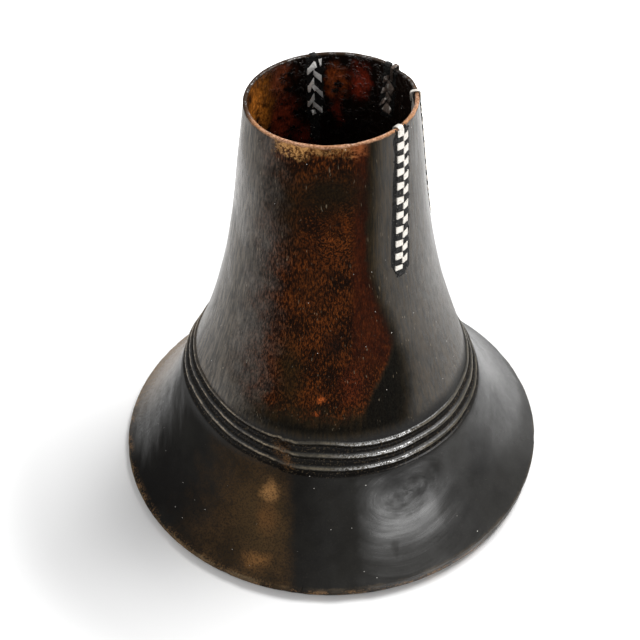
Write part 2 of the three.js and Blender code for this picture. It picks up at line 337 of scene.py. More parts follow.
def ring_climb(point, turn):
    """How far the rings climb and spread, in metres, at an angle from the front."""
    missed = math.tanh((turn - RING_START) / 1.5) * bump(turn, RING_START, 40)
    share = (point.z - band_foot.y) / band_rise
    climb = 3.2 * bump(turn, RING_CLIMB, 24) + (4 * share - 1) * bump(turn, -3, 13)
    climb += 1.6 * drift(point, 260, 8.1) * bump(turn, RING_START, 4)
    climb -= 0.45 * missed + 0.5 * bump(turn, -15, 6)
    return climb * bump(point.z, band_middle, 15 * mm) * mm


def hand_cut(point):
    """Takes a little wood away, or leaves a little, as a knife does. Never past the outline's widest."""
    radius = math.hypot(point.x, point.y)
    if radius < 5 * mm:
        return point
    out = Vector((point.x, point.y, 0)) / radius
    level = point.z
    turn = math.degrees(math.atan2(point.x, -point.y))
    lip_mask = bump(level, height, 2.5 * mm)
    in_hollow = level > floor_thickness * 0.9 and radius < inner_limit(level)
    if radius < rim_radius - lip_wall / 2 or in_hollow:
        flats = 0.35 * mm * drift(Vector((point.x, point.y, level * 0.5)), 90, 3.1)
        point = point + out * flats * (1 - lip_mask)
    else:
        flats = 0.22 * mm * drift(Vector((point.x, point.y, level * 0.45)), 75, 7.7) - 0.1 * mm
        band_mask = bump(level, band_middle, 9 * mm)
        uneven = 0.3 * drift(point, 60, 1.3) + 0.2 * drift(point, 260, 4.9)
        worn = -0.9 * max(0, drift(point, 45, 9.2) - 0.2)
        knocked_off = -0.9 * bump(turn, RING_START, 3.4) * (0.8 + 1.4 * drift(point, 420, 3.4))
        edge_mask = bump(level, 5 * mm, 6 * mm)
        chips = -1.1 * max(0, drift(point, 120, 5.5) - 0.18) - 0.25 * abs(drift(point, 400, 2.2))
        flats *= (1 - edge_mask) * (1 - lip_mask)
        move = flats + (band_mask * (uneven + worn + knocked_off) + edge_mask * chips) * mm
        up_and_in = Vector((0, 0, 1)) - out * 0.5
        point = point + up_and_in * ring_climb(point, turn) + out * min(move, 0.35 * mm * band_mask)
    nick = -0.5 * max(0, drift(point, 160, 6.6) - 0.1) - 0.2 * (0.5 + drift(point, 55, 8.8))
    broken = clamped((turn - LIP_BREAK[0]) / 14) * clamped((LIP_BREAK[1] - turn) / 0.8)
    point.z += lip_mask * (nick - 1.3 * broken) * mm
    return point


def inner_limit(level):
    """The radius half way through the wall at a height, for telling inside from outside."""
    if level > neck_foot.y:
        share = (height - level) / (height - neck_foot.y)
        return neck_at(share * neck_length)[0].x - wall_at(share * neck_length) / 2
    share = (neck_foot.y - level) / (neck_foot.y - floor_thickness)
    return neck_foot.x - shoulder_wall / 2 + (edge_radius - belly_inset + 6 * mm - neck_foot.x) * share


def crest_at(point):
    """1 on top of a ridge of the band, 0 on the plain surface, -1 at the bottom of a groove."""
    along = (neck_foot - band_foot).normalized()
    place = Vector((math.hypot(point.x, point.y), point.z)) - band_foot
    stands_out = place.dot(Vector((along.y, -along.x)))
    if not -1 * mm < place.dot(along) < (neck_foot - band_foot).length + 1 * mm or abs(stands_out) > 3 * mm:
        return 0
    return stands_out / (ridge_height if stands_out > 0 else groove_depth)


crest_layer = vessel.data.attributes.new("crest", "FLOAT", "POINT")
for vertex in vessel.data.vertices:
    crest_layer.data[vertex.index].value = crest_at(vertex.co)
    vertex.co = settle(hand_cut(vertex.co.copy()))
print("the hand-cut vessel is", [round(size / mm, 1) for size in vessel.dimensions], "mm")

# %% [markdown]
# ## The cracks
# Four cracks run down from the lip. Everything on them is easier to make flat: sideways from the crack,
# outwards from the wood, and depth below the rim. One function then bends those three numbers round
# the neck, so that slots, strip and gum all agree.

# %% Where the cracks are
strip_width = 3.3 * mm
strip_thickness = 0.5 * mm
strip_clearance = 0.35 * mm
strip_stand_off = 0.5 * mm
strip_bend = 0.55 * mm
left_reach = 4.7 * mm
right_reach = 3.4 * mm
outside_drop = 0.7 * mm
lip_wrap_tail = 2.5 * mm
lip_wrap_gap = 0.15 * mm
slack_start, slack_end = 0.25, 0.95
gum_width = 2.2 * mm
clear_of_wall = 3 * mm
strip_out = strip_stand_off + strip_thickness / 2


@dataclass
class Crack:
    """One crack: its angles from the front, at the rim and at its last stitch, and its rows of stitches."""

    name: str
    rim_angle: float
    end_angle: float
    first_depth: float
    stitches: int
    pitch: float
    slack: float = 0
    gum_end: float = 4 * mm
    over_lip: bool = True

    def __post_init__(self):
        self.last_depth = self.row(self.stitches)
        self.end_depth = self.last_depth + outside_drop + strip_width / 2 + strip_clearance
        self.bottom = self.end_depth + self.gum_end

    def row(self, number):
        """Depth of a row. The rows lie wider apart in the middle, and none is quite where it should be."""
        share = clamped((number / self.stitches - slack_start) / (slack_end - slack_start))
        slip = 0.25 * mm * drift(Vector((number * 0.37, self.rim_angle, 0)), 1, 2.6) if number else 0
        return self.first_depth + self.pitch * number + self.slack * share * share * (3 - 2 * share) + slip

    def place(self, sideways, outwards, depth):
        point, out = neck_at(depth)
        share = depth / self.last_depth
        angle = math.radians(self.rim_angle + (self.end_angle - self.rim_angle) * share)
        angle += sideways / point.x
        radius = point.x + out.x * outwards
        level = point.y + out.y * outwards
        return settle(Vector((radius * math.sin(angle), -radius * math.cos(angle), level)))

    def bend_round(self, obj):
        """Bends a flat model, made in sideways, outwards and depth, round the neck."""
        for vertex in obj.data.vertices:
            vertex.co = self.place(*vertex.co)


CRACKS = [
    Crack("front_right", 52.1, 42.6, 2.15 * mm, stitches=10, pitch=6.9 * mm, slack=7.4 * mm),
    Crack("right", 98, 102, 2.15 * mm, stitches=10, pitch=7.6 * mm),
    Crack("back_right", 133, 139, 6.4 * mm, stitches=3, pitch=7.8 * mm),
    Crack("back_left", -167.5, -168.5, 4 * mm, stitches=3, pitch=11.3 * mm, gum_end=20 * mm, over_lip=False),
]
for crack in CRACKS:
    print(f"{crack.name}: {crack.stitches} stitches, {crack.pitch / mm:.1f} mm apart")


# %% Cut the cracks and the slots
def flat_block(left, right, top, bottom, outer, inner, cuts=0):
    """A cube primitive brought to a size beside a crack, with extra rings along its depth."""
    obj = added(bpy.ops.mesh.primitive_cube_add, size=1, location=(0, 0, 0))
    with editing(obj):
        bpy.ops.transform.resize(value=(right - left, outer - inner, bottom - top))
        bpy.ops.transform.translate(value=((left + right) / 2, (outer + inner) / 2, (top + bottom) / 2))
        if cuts:
            for side in bmesh.from_edit_mesh(obj.data).edges:
                side.select = abs(side.verts[0].co.z - side.verts[1].co.z) > (bottom - top) / 2
            bmesh.update_edit_mesh(obj.data)
            bpy.ops.mesh.subdivide(number_cuts=cuts)
    return obj


def joined(name, parts):
    bpy.ops.object.select_all(action="DESELECT")
    for part in parts:
        part.select_set(True)
    bpy.context.view_layer.objects.active = parts[0]
    bpy.ops.object.join()
    return renamed(bpy.context.object, name)


half_crack = strip_thickness / 2 + strip_clearance
half_slot = strip_width / 2 + strip_clearance
through = {"outer": clear_of_wall, "inner": -shoulder_wall - clear_of_wall}
cutters = []
for crack in CRACKS:
    blocks = [flat_block(-half_crack, half_crack, -clear_of_wall, crack.bottom, **through, cuts=24)]
    for i in range(crack.stitches + 1):
        places = [(-left_reach, crack.row(i))] if i or not crack.over_lip else []
        if i < crack.stitches:
            places.append((right_reach, (crack.row(i) + crack.row(i + 1)) / 2))
        for side, slot_depth in places:
            blocks.append(flat_block(side - half_crack, side + half_crack,
                                     slot_depth - half_slot, slot_depth + half_slot, **through))
    cutter = joined("cutter", blocks)
    crack.bend_round(cutter)
    cutters.append(cutter)

# %% Cut a drying check in the foot's edge, and apply every cut
CHECK_TURN = -8.4  # degrees from the front
foot_check = flat_block(-0.35 * mm, 0.35 * mm, -1 * mm, 9.5 * mm, 131 * mm, 127 * mm)
for vertex in foot_check.data.vertices:
    x, y, z = vertex.co
    angle = math.radians(CHECK_TURN + z * 150)
    x *= (y - 126.6 * mm) / (4 * mm)
    vertex.co = (x * math.cos(angle) + y * math.sin(angle), x * math.sin(angle) - y * math.cos(angle), z)
cutter = joined("cutter", cutters + [foot_check])
with editing(cutter):
    bpy.ops.mesh.normals_make_consistent(inside=False)
modified(vessel, "BOOLEAN", operation="DIFFERENCE", solver="EXACT", use_self=False, object=cutter)
bpy.data.objects.remove(cutter)
smoothed(vessel, 42)
inner_layer = vessel.data.attributes.new("inner", "FLOAT", "POINT")
for vertex in vessel.data.vertices:
    radius, level = math.hypot(vertex.co.x, vertex.co.y), vertex.co.z
    within = (inner_limit(min(level, height)) - radius) / (0.8 * mm)
    inner_layer.data[vertex.index].value = clamped(0.5 + within) if level > floor_thickness * 0.9 else 0
print("the laced vessel has", len(vessel.data.polygons), "faces")

# %% [markdown]
# ## The lacing
# Each strip is one unbroken ribbon. It goes over the outside from a left slot to the crack, in through
# the crack, behind the wall to the right slot, out, over to the crack again, and so on: a figure of
# eight when seen along the crack. It is modelled as the repairer worked: a short flat piece whose end is
# extruded from bend to bend, then given its thickness and bent round the neck. Behind the wall the old
# strip has come loose, so its runs curl and slip there.


# %% The strip's path
def lacing_corners(crack):
    corners = []

    def add(sideways, is_outside, depth):
        out = strip_out if is_outside else -wall_at(depth) - strip_out
        corners.append(Vector((sideways, out, depth)))

    if not crack.over_lip:
        add(-left_reach / 2, False, crack.row(0))
    for i in range(crack.stitches + 1):
        depth = crack.row(i)
        if i or not crack.over_lip:
            add(-left_reach, False, depth)
        add(-left_reach, True, depth)
        add(0, True, depth + outside_drop)
        add(0, False, depth + outside_drop)
        if i < crack.stitches:
            half_way = (depth + crack.row(i + 1)) / 2
            add(right_reach, False, half_way)
            add(right_reach, True, half_way)
            add(0, True, half_way + outside_drop)
            add(0, False, half_way + outside_drop)
    add(right_reach / 2, False, crack.last_depth + outside_drop)
    return corners


def rounded(corners, bend, steps):
    """The corners of a path, each turned into a small arc."""
    path = [corners[0]]
    for before, corner, after in zip(corners, corners[1:], corners[2:]):
        start = corner.lerp(before, bend / (corner - before).length)
        end = corner.lerp(after, bend / (corner - after).length)
        for i in range(steps + 1):
            share = i / steps
            path.append(start.lerp(corner, share).lerp(corner.lerp(end, share), share))
    return path + [corners[-1]]


def ribbon(path, across, width):
    """A strip whose width lies along the given axis, extruded from a plane's edge along a path."""
    obj = added(bpy.ops.mesh.primitive_plane_add, size=1)
    half = across * width / 2
    corners = [path[0] - half, path[0] + half, path[1] - half, path[1] + half]
    for vertex, corner in zip(obj.data.vertices, corners):
        vertex.co = corner
    with editing(obj):
        mesh = bmesh.from_edit_mesh(obj.data)
        for vertex in mesh.verts:
            vertex.select = vertex.index > 1
        mesh.select_flush_mode()
        bmesh.update_edit_mesh(obj.data)
        for start, end in zip(path[1:], path[2:]):
            bpy.ops.mesh.extrude_region_move(TRANSFORM_OT_translate={"value": end - start})
        bpy.ops.mesh.select_all(action="SELECT")
        bpy.ops.mesh.normals_make_consistent(inside=False)
    return obj


def loosen(strip, path, crack):
    """Cuts a strip unevenly wide, and lets its runs behind the wall curl and slip, at the back most."""
    loose = 1 if crack.name.startswith("back") else 0.3
    for vertex in strip.data.vertices:
        centre = path[vertex.index // 2]
        cut_wide = 1 + 0.13 * abs(centre.x) / left_reach + 0.12 * drift(centre, 260, crack.rim_angle)
        if centre.z > crack.last_depth - 0.5 * mm:
            cut_wide *= 0.76
        beside = (vertex.co.z - centre.z) / (strip_width / 2)
        vertex.co = centre + (vertex.co - centre) * cut_wide
        if centre.y < -lip_wall:
            curl = loose * max(0.1, 0.7 + 1.8 * drift(centre, 420, crack.rim_angle + 5))
            vertex.co.y -= (1.1 * curl * beside + 0.7 * curl) * mm
            vertex.co.x += 1.6 * loose * mm * drift(centre, 380, crack.rim_angle + 7) * (1 + 0.4 * beside)
            vertex.co.z += 1.5 * loose * mm * drift(centre, 380, crack.rim_angle + 9)


# the loops over the lip: width, how far each stands off inside, and how round it turns
LIP_WRAPS = {
    "front_right": (3.2 * mm, 0.3 * mm, 1.8 * mm),
    "right": (1.8 * mm, 1.4 * mm, 1.9 * mm),
    "back_right": (2.2 * mm, 0.1 * mm, 1.5 * mm),
}


def lip_wrap(crack):
    """The strip's end, which goes over the lip and lies down behind it."""
    side = -left_reach / 2
    width, loose, bend = LIP_WRAPS[crack.name]
    behind = -lip_wall - strip_out - loose
    above = -lip_wall / 4 - lip_wrap_gap - strip_thickness / 2
    before = strip_out + strip_thickness / 2
    corners = [(behind, crack.first_depth + lip_wrap_tail), (behind, above), (before, above),
               (before, crack.first_depth + strip_width / 4)]
    path = rounded([Vector((side, *corner)) for corner in corners], bend, 7)
    return ribbon(path, Vector((1, 0, 0)), width)


def make_lacing(crack):
    path = rounded(lacing_corners(crack), strip_bend, 3)
    strip = ribbon(path, Vector((0, 0, 1)), strip_width)
    loosen(strip, path, crack)
    strip = joined(f"{crack.name}_strip", [strip, lip_wrap(crack)] if crack.over_lip else [strip])
    modified(strip, "SOLIDIFY", thickness=strip_thickness, offset=0, use_even_offset=True)
    modified(strip, "BEVEL", width=0.09 * mm, segments=2, limit_method="ANGLE")
    crack.bend_round(strip)
    smoothed(strip, 35)
    return strip


strips = {crack.name: make_lacing(crack) for crack in CRACKS}
for name, strip in strips.items():
    print(name, "strip:", len(strip.data.polygons), "faces")

# %% [markdown]
# ## The gum
# Gum was pressed in beside the strip while warm, outside and inside, and it set as a lumpy dark crust
# with ragged edges. A grid primitive over each row of stitches takes that form: low under the strip, and
# lumpy along the slots. Solidify closes it, the crack's end gets its plug, and blobs sit over the lip.


# %% The gum crusts
def under_strip(crack, is_outside, sideways, depth):
    """1 where the strip lies over this face, 0 where the gum is free to rise beside it."""
    hidden = 0
    for i in range(crack.stitches + 1):
        left, right = crack.row(i), (crack.row(i) + crack.row(min(i + 1, crack.stitches))) / 2
        runs = [(-left_reach, left, outside_drop), (right_reach, right, outside_drop)]
        if not is_outside:
            half = crack.pitch / 2 - outside_drop
            runs = [(-left_reach, left, -half), (right_reach, right, -half)]
        for reach, start, drop in runs:
            share = 1 - sideways / reach
            if -0.2 < share < 1.1:
                off_middle = abs(depth - start - drop * share)
                hidden = max(hidden, clamped(1.35 - (off_middle - strip_width / 2) / (0.4 * mm)))
    return hidden


def crust(crack, is_outside, seed):
    """A lumpy patch on one face of the wall, ragged at its sides and narrower below the last stitch."""
    left, right = -left_reach - half_crack - gum_width, right_reach + half_crack + gum_width
    top, bottom = 1.2 * mm, crack.bottom
    rows = round((bottom - top) / (0.4 * mm))
    obj = added(bpy.ops.mesh.primitive_grid_add, x_subdivisions=36, y_subdivisions=rows, size=1)
    for vertex in obj.data.vertices:
        sideways = (left + right) / 2 + vertex.co.x * (right - left)
        depth = (top + bottom) / 2 + vertex.co.y * (bottom - top)
        side_seed, held_back = (seed + 3, 1.2) if sideways > 0 else (seed, 1.6)
        ragged = held_back * mm + 2.0 * mm * drift(Vector((0, depth, 0)), 330, side_seed)
        ragged += 1.4 * mm * drift(Vector((sideways, depth, 0)), 900, side_seed)
        tapers = min(2.3 * mm, 0.35 * max(0, depth - crack.last_depth))
        to_edge = min(sideways - left, right - sideways) - max(0, ragged) - tapers
        full = 0.7 + 0.25 * drift(Vector((sideways, depth, seed * mm)), 800, seed)
        hidden = under_strip(crack, is_outside, sideways, depth)
        ends = min(1, max(0, (depth - top) / (1.2 * mm) + 0.1), max(0, (bottom - depth) / (2.2 * mm) + 0.05))
        lift = clamped(to_edge / (0.9 * mm)) * (full + (0.34 - full) * hidden) * ends * mm - 0.12 * mm
        vertex.co = (sideways, lift if is_outside else -wall_at(depth) - lift, depth)
    if is_outside:
        with editing(obj):
            bpy.ops.mesh.flip_normals()
    modified(obj, "SOLIDIFY", thickness=0.5 * mm, offset=-1)
    return obj


def lump(sideways, depth, size, seed):
    """A blob of gum left over the lip, an ico sphere pressed out of shape."""
    obj = added(bpy.ops.mesh.primitive_ico_sphere_add, subdivisions=4, radius=1, location=(0, 0, 0))
    middle = Vector((sideways * mm, -lip_wall / 2, depth * mm))
    for vertex in obj.data.vertices:
        swell = 1 + 0.28 * drift(vertex.co, 1.6, seed) + 0.12 * drift(vertex.co, 4.5, seed + 2)
        vertex.co = middle + vertex.co * Vector(size) * swell * mm
    return obj


# sideways, depth and half-sizes of the blobs over the lip, in millimetres
LIP_LUMPS = {
    "front_right": [(1.5, 0.6, (1.3, 1.9, 1.1)), (-5.6, 0.5, (0.9, 1.5, 0.8))],
    "back_right": [(2.6, 0.3, (2.6, 1.7, 1.1)), (5.6, 1.0, (1.6, 1.6, 0.9))],
    "back_left": [(0.2, 0.4, (2.4, 1.8, 1.3)), (3.8, 0.9, (1.7, 1.6, 1.0)), (-3.2, 0.9, (1.5, 1.6, 0.9))],
}


def make_gum(crack, seed):
    plug = flat_block(-half_crack, half_crack, crack.end_depth, crack.bottom,
                      0.1 * mm, -wall_at(crack.last_depth) - 0.1 * mm)
    lumps = [lump(*values, seed + i) for i, values in enumerate(LIP_LUMPS.get(crack.name, []))]
    crusts = [crust(crack, True, seed), crust(crack, False, seed + 5)]
    gum_piece = joined(f"{crack.name}_gum", crusts + [plug] + lumps)
    crack.bend_round(gum_piece)
    smoothed(gum_piece, 50)
    return gum_piece


gums = {crack.name: make_gum(crack, 11 + i) for i, crack in enumerate(CRACKS)}
for name, gum_piece in gums.items():
    print(name, "gum:", len(gum_piece.data.polygons), "faces")

# %% Pieces ride on the body and stand for their nodes
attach(vessel, "root")
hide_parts("vessel_body")
for crack in CRACKS:
    strip, gum_piece = strips[crack.name], gums[crack.name]
    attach(strip, "root")
    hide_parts(f"{crack.name}_lacing")
    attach(gum_piece, "root")
    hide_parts(f"{crack.name}_gum_seal")
print("pieces placed")

# %% [markdown]
# ## Writing materials as sums
# A material is easier to read as arithmetic than as a page of links. A small class wraps a socket, so
# that plus, minus, times and the rest add the Math node that they mean, with their reflected forms, so
# that 1 - mask works too. Anything else is one call that takes a node's type, settings and inputs.


# %% A socket that can be reckoned with
def math_node(operation, swapped=False):
    """A method that adds the Math node for a socket and another value."""
    def method(wire, other):
        values = (other, wire) if swapped else (wire, other)
        return wire.shader.node("ShaderNodeMath", {"operation": operation}, dict(enumerate(values)))
    return method


class Wire:
    """A socket: a number, a colour or a place that changes over the surface."""

    def __init__(self, shader, socket):
        self.shader = shader
        self.socket = socket

    __add__ = __radd__ = math_node("ADD")
    __mul__ = __rmul__ = math_node("MULTIPLY")
    __sub__, __rsub__ = math_node("SUBTRACT"), math_node("SUBTRACT", swapped=True)
    __truediv__, __pow__ = math_node("DIVIDE"), math_node("POWER")
    turn, larger = math_node("ARCTAN2"), math_node("MAXIMUM")

    def __neg__(self):
        return self * -1

    def gap(self, other):
        """How far apart two values are."""
        return self.shader.node("ShaderNodeMath", {"operation": "ABSOLUTE"}, {0: self - other})

    def fade(self, low, high):
        """0 below low and 1 above high, smooth between; the other way round if low is above high."""
        return self.shader.node("ShaderNodeMapRange", {"interpolation_type": "SMOOTHSTEP"}, {
            "Value": self, "From Min": low, "From Max": high})

    def stained(self, mask, colour):
        """This colour, with another over it where the mask is 1."""
        return self.shader.colour(mask, self, colour)

    def axes(self):
        """The three numbers of a place, or the three of a colour."""
        split = self.shader.tree.nodes.new("ShaderNodeSeparateXYZ")
        self.shader.put(split.inputs[0], self)
        return [Wire(self.shader, socket) for socket in split.outputs]

    def vector(self, operation, *others, output=0):
        settings = {"operation": operation}
        return self.shader.node("ShaderNodeVectorMath", settings, dict(enumerate((self, *others))), output)

    def stretched(self, scale, turn=(0, 0, 0)):
        return self.shader.node("ShaderNodeMapping", {}, {"Vector": self, "Scale": scale, "Rotation": turn})

    def noise(self, scale, detail=3, rough=0.55, twist=0, output=0):
        inputs = {"Vector": self, "Scale": scale, "Detail": detail, "Roughness": rough, "Distortion": twist}
        return self.shader.node("ShaderNodeTexNoise", {}, inputs, output)

    def cells(self, scale, output="Distance"):
        return self.shader.node("ShaderNodeTexVoronoi", {}, {"Vector": self, "Scale": scale}, output)


# %% A material or world as a tree of nodes
class Shader:
    """The node tree of a material or world, with one method for every kind of node."""

    def __init__(self, owner):
        self.owner = owner
        owner.use_nodes = True
        self.tree = owner.node_tree
        nodes = self.tree.nodes
        self.surface = nodes.get("Principled BSDF") or nodes["Background"]

    @cached_property
    def place(self):
        """Object coordinates."""
        return self.node("ShaderNodeTexCoord", {}, {}, "Object")

    def put(self, socket, value):
        """Links a socket or sets it. Three numbers on a colour socket are a colour as a screen shows it."""
        if isinstance(value, Wire):
            self.tree.links.new(value.socket, socket)
        elif socket.type == "RGBA" and len(value) == 3:
            socket.default_value = paint(*value)
        else:
            socket.default_value = value

    def node(self, kind, settings, inputs, output=0):
        made = self.tree.nodes.new(kind)
        for key, value in settings.items():
            setattr(made, key, value)
        for key, value in inputs.items():
            self.put(made.inputs[key], value)
        return Wire(self, made.outputs[output])

    def point(self, x, y, z):
        return self.node("ShaderNodeCombineXYZ", {}, {0: x, 1: y, 2: z})

    def colour(self, mask, first, second):
        return self.node("ShaderNodeMix", {"data_type": "RGBA"}, {0: mask, 6: first, 7: second}, 2)

    def bumped(self, raised, distance, strength, **over):
        return self.node("ShaderNodeBump", {}, {
            "Height": raised, "Distance": distance, "Strength": strength, **over})

    def set(self, **sockets):
        for name, value in sockets.items():
            self.put(self.surface.inputs[name.replace("_", " ")], value)
        return self.owner

    def shown(self, surface):
        """Makes another surface than the first the one that shows."""
        self.tree.links.new(surface.socket, self.tree.nodes["Material Output"].inputs["Surface"])
        return self.owner


def paint(*levels):
    """A colour written as it looks on a screen, 0 to 255, as the linear values that nodes take."""
    shares = [level / 255 for level in levels]
    linear = [share / 12.92 if share <= 0.04045 else ((share + 0.055) / 1.055) ** 2.4 for share in shares]
    return (*linear, 1)


def dress(pieces, material):
    for piece in pieces:
        piece.data.materials.clear()
        piece.data.materials.append(material)
    print(material.name, "on", len(pieces), "pieces, nodes:", len(material.node_tree.nodes))


print("mid grey is", [round(level, 3) for level in paint(128, 128, 128)[:3]])

# %% [markdown]
# ## Smoked and oiled wood
# Years of smoke, fat and handling leave the wood almost black. On most of the neck and on the right of
# the skirt that skin is polished, and it is a thin clear coat here. Down the front it has been rubbed
# away, and the red-brown heart shows, full of short dark flecks that bend round a knot. The lip and the
# Masks by height, angle and place say where each shows. In places the colour also stands for light: the
# band's dark grooves are painted shade, its pale crests are partly a painted highlight, the thin line round
# the foot is partly a painted highlight, and the stains inside are painted brighter where light falls in.


# %% Masks
def patch(where, centre, size, soft=0.15):
    """1 inside an egg-shaped region of the vessel, fading to 0 at its edge. Millimetres."""
    moved = where.vector("SUBTRACT", [value * mm for value in centre])
    scaled = moved.vector("DIVIDE", [value * mm for value in size])
    return scaled.vector("LENGTH", output="Value").fade(1, soft)


def specks(place, scale, size, share):
    """Small round dots, one at most in each cell, in a share of the cells."""
    near = place.cells(scale)
    lot = place.cells(scale, "Color").axes()[0]
    return near.fade(size, size * 0.6) * lot.fade(1 - share, 1.01 - share)


def hairlines(place, turn, share):
    """Fine scratches that run one way, where a slower noise lets them."""
    lines = place.stretched((1, 1, 0.05), turn).noise(1100, 1, 0.4)
    where = place.stretched((1, 1, 0.4), turn).noise(260, 2, 0.5)
    return lines.fade(0.66, 0.72) * where.fade(1 - share, 1.06 - share)


# %% Colours by place
# centre, half-size, colour, strength: worn and stained places of the outside, and stains of the inside that
# are painted brighter where light falls in
NECK_PLACES = [
    ((0, -46, 228), (32, 18, 19), (29, 23, 13), 0.95),
    ((-24, -44, 214), (15, 26, 36), (34, 26, 14), 0.8),
    ((-9, -48, 214.5), (2.6, 5, 2.6), (10, 8, 6), 0.9),
    ((2.6, -50, 209), (2.4, 5, 2.8), (12, 8, 6), 0.9),
    ((6.5, -51, 208), (3.6, 6, 8), (104, 50, 18), 0.45),
    ((0, -54, 200), (2.2, 5, 2.2), (128, 66, 26), 0.7),
    ((-12, -60, 172), (16, 20, 34), (88, 46, 19), 0.4),
    ((-22, -62, 116), (12, 22, 36), (46, 34, 17), 0.8),
    ((11, -66, 112), (12, 24, 24), (78, 32, 17), 0.7),
    ((1, -62, 137), (8, 12, 14), (22, 14, 12), 0.85),
    ((-4.4, -72.6, 105.4), (4.2, 5, 4.6), (182, 92, 42), 0.95),
    ((-7.1, -75.8, 95.2), (3.8, 4, 2.0), (150, 72, 32), 0.9),
]
SKIRT_PLACES = [
    ((-40, -100, 34), (26, 40, 40), (72, 56, 36), 0.85),
    ((-34.7, -90.7, 48.6), (8, 9, 10), (158, 116, 72), 0.85),
    ((-36, -98, 34), (8, 12, 16), (104, 72, 42), 0.7),
    ((-42.5, -112.3, 14), (13, 9, 8), (122, 86, 50), 0.8),
]
# inside: stains painted brighter, to stand in for the light that falls on the back and left walls
INNER_STAINS_AND_LIGHT = [
    ((-38, 16, 228), (15, 28, 36), (222, 132, 48), 1.0),
    ((-27, 36, 243), (13, 11, 17), (158, 80, 48), 0.95),
    ((-25, 38, 216), (13, 13, 22), (176, 72, 42), 0.9),
    ((-14, 42, 200), (10, 12, 14), (150, 52, 32), 0.8),
    ((3, 44, 234), (9, 8, 18), (214, 104, 50), 1.0),
    ((4, 44, 214), (5, 8, 16), (160, 58, 34), 0.9),
    ((16, 42, 236), (9, 9, 18), (158, 56, 34), 1.0),
]
# centre and half-size of places on the skirt's right where the skin is dull again
DULL_PLACES = [
    ((37, -107, 20), (3.4, 9, 8)), ((60, -74, 54), (20, 16, 12)), ((34, -88, 52), (26, 12, 9)),
    ((72, -98, 14), (30, 14, 9)),
]


# %% Places, noises and masks of the wood
oiled = Shader(bpy.data.materials.new("oiled_wood"))
place = oiled.place
x, y, z = place.axes()
radius = (x * x + y * y) ** 0.5
side = x / radius
facing = y.fade(0.0, -0.012)
inside = oiled.node("ShaderNodeAttribute", {"attribute_name": "inner"}, {}, "Fac")
crest = oiled.node("ShaderNodeAttribute", {"attribute_name": "crest"}, {}, "Fac")
*_, rim_right, rim_back = LEANS[0]
below_rim = height + x * (rim_right / rim_radius) + y * (rim_back / rim_radius) - z
slow = place.noise(24, 3, 0.55)
mid = place.noise(110, 4, 0.6)
fine = place.noise(900, 3, 0.65)
rag, fray = mid - 0.5, fine - 0.5  # about zero: they make an edge uneven, coarsely and finely
wobble = place.noise(90, 6, 0.65, output="Color")
moved = wobble.vector("MULTIPLY_ADD", (0.014, 0.014, 0.018), place)
shaken = moved.vector("SUBTRACT", (0.007, 0.007, 0.009))
on_neck = z.fade(0.079, 0.087)
on_skirt = z.fade(0.068, 0.060)
on_band = 1 - crest.gap(0.0).fade(0.12, 0.02)
lip = (below_rim + rag * 0.003).fade(0.0012, 0.0001)
print("masks of the wood:", len(oiled.tree.nodes), "nodes")

# %% The grain: flecks run round the knot near it, and lie along the wood farther away
from_knot, above_knot = x - 0.001, (z - 0.2125) * 0.75
reach = (from_knot * from_knot + above_knot * above_knot) ** 0.5
round_knot = oiled.point(reach * 1300, from_knot.turn(above_knot) * 14, y * 90).noise(1, 3, 0.6)
upright = place.stretched((1, 1, 0.28), (0, 0.22, 0)).noise(1250, 3, 0.6, 0.3)
near_knot = (reach + mid * 0.02).fade(0.036, 0.020)
flecks = round_knot * near_knot + upright * (1 - near_knot)
dark_flecks = flecks.fade(0.46, 0.55)
bright_flecks = flecks.fade(0.43, 0.34)
clouds = shaken.noise(62, 4, 0.6).fade(0.36, 0.62)
fibres = place.stretched((1, 1, 0.05)).noise(1500, 2, 0.5)
streaks = place.stretched((1, 1, 0.06), (0, 0.05, 0)).noise(620, 4, 0.65).fade(0.34, 0.66)
around = x.turn(-y) * 0.052
leaning = oiled.point(around, z, radius).stretched((1, 0.10, 0.1), (0, 0, 0.5))
hatch = leaning.noise(1000, 3, 0.6).fade(0.36, 0.64)
print("grain of the wood:", len(oiled.tree.nodes), "nodes")

# %% The window down the front of the neck: sharp on the right, ragged and soft on the left
widening = z.fade(0.190, 0.098)
window_edge = 0.0198 + (0.244 - z) * 0.008 + widening * 0.0235 + rag * 0.006 * (0.3 + widening)
softness = 0.0030 + widening * 0.0055
right_border = ((x - window_edge) / softness).fade(1.0, -1.0)
ragged = (flecks - 0.5) * 0.5 + rag * 0.35
left_border = (side + ragged).fade(-0.92, -0.38)
window = facing * right_border * left_border
skin_right = (x - window_edge + widening * 0.0060).fade(-0.0005, 0.0085)
dark_margin = z.fade(0.140, 0.092) * 0.025
shallow = (x - window_edge + dark_margin + rag * 0.012).fade(0.0015, -0.0030)
low = (z + rag * 0.022).fade(0.084, 0.104)
heart = window * shallow * low * on_neck
print("worn front:", len(oiled.tree.nodes), "nodes")

